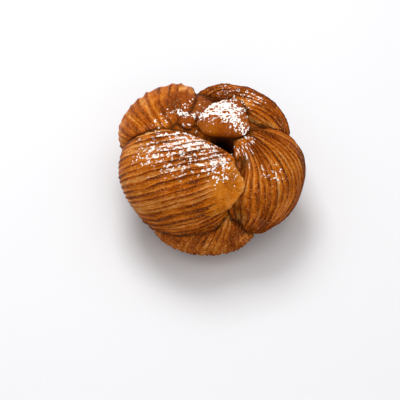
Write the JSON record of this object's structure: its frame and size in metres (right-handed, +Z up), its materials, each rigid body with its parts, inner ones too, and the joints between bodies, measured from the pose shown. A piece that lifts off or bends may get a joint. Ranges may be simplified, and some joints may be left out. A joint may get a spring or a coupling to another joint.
{
  "type": "knotted cruffin",
  "caption": "Whole baked cruffin: ropes of laminated dough knotted into a low round bun, their layers showing as fine ridges, with a small pit at the heart of the knot.",
  "frame": {"origin": "centre of the bounding box in plan, on the surface the pastry rests on", "axes": "+Z up; +Y away from the side where the largest rope crosses the front; +X to that side's right"},
  "size_m": [0.1088, 0.1026, 0.0643],
  "materials": {
    "crust": "browned, buttery laminated crust with a soft sheen; icing sugar is dusted over its top in the visual model"
  },
  "bodies": {
    "root": {"cruffin": "crust"}
  },
  "joints": []
}
